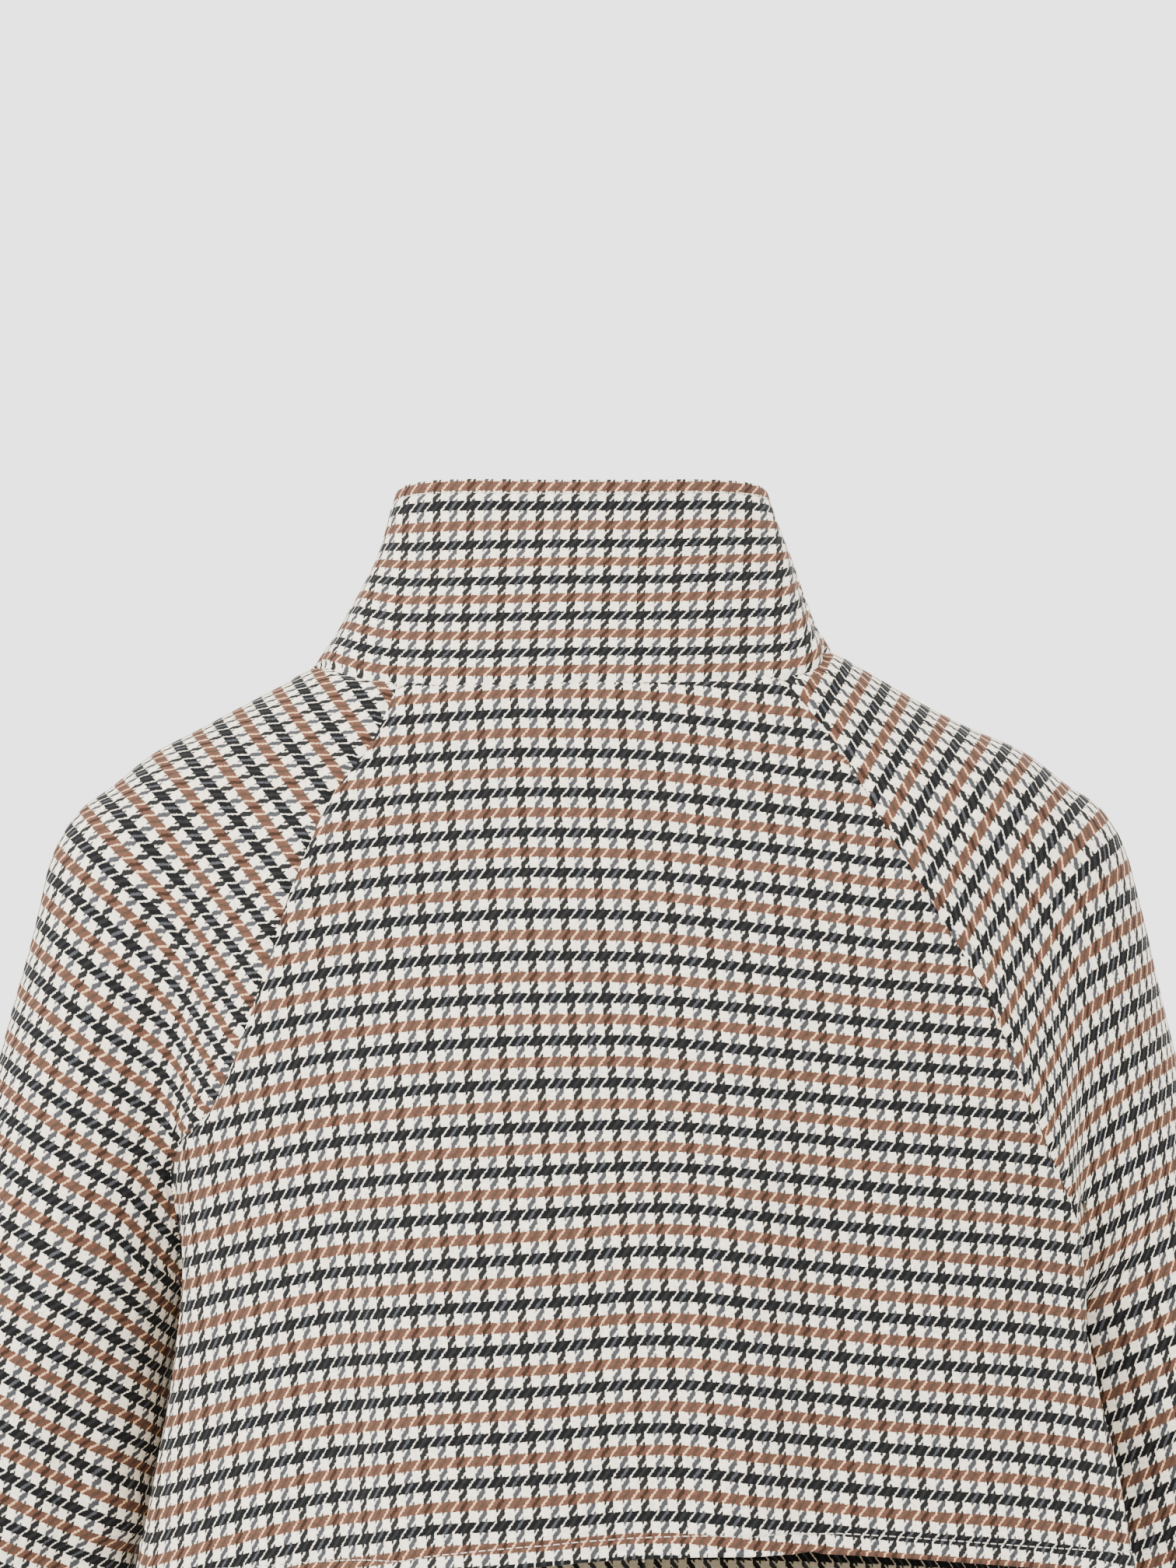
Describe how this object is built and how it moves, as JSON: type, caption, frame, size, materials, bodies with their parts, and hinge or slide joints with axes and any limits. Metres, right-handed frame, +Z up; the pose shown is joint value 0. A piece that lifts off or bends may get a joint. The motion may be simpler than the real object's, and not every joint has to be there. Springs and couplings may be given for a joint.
{
  "type": "cropped jacket",
  "caption": "Hollow cropped wool jacket with a funnel collar, raglan sleeves, an arched back hem and a lapped front, in the shape it has when worn.",
  "frame": {"origin": "centre of the neck base, level with the collar seam at the centre back", "axes": "+Z up, +Y towards the garment's back, +X towards the wearer's left"},
  "size_m": [0.6936, 0.301, 0.6882],
  "materials": {
    "wool_houndstooth": "brushed wool twill in a houndstooth of black, cream, grey and brown, matt with a short nap",
    "horn_button": "polished dark horn"
  },
  "bodies": {
    "root": {"back": "wool_houndstooth", "front_left": "wool_houndstooth", "front_right": "wool_houndstooth", "sleeve_left": "wool_houndstooth", "sleeve_right": "wool_houndstooth", "collar": "wool_houndstooth", "button_1": "horn_button", "button_2": "horn_button", "button_3": "horn_button", "button_4": "horn_button", "button_5": "horn_button"}
  },
  "joints": []
}
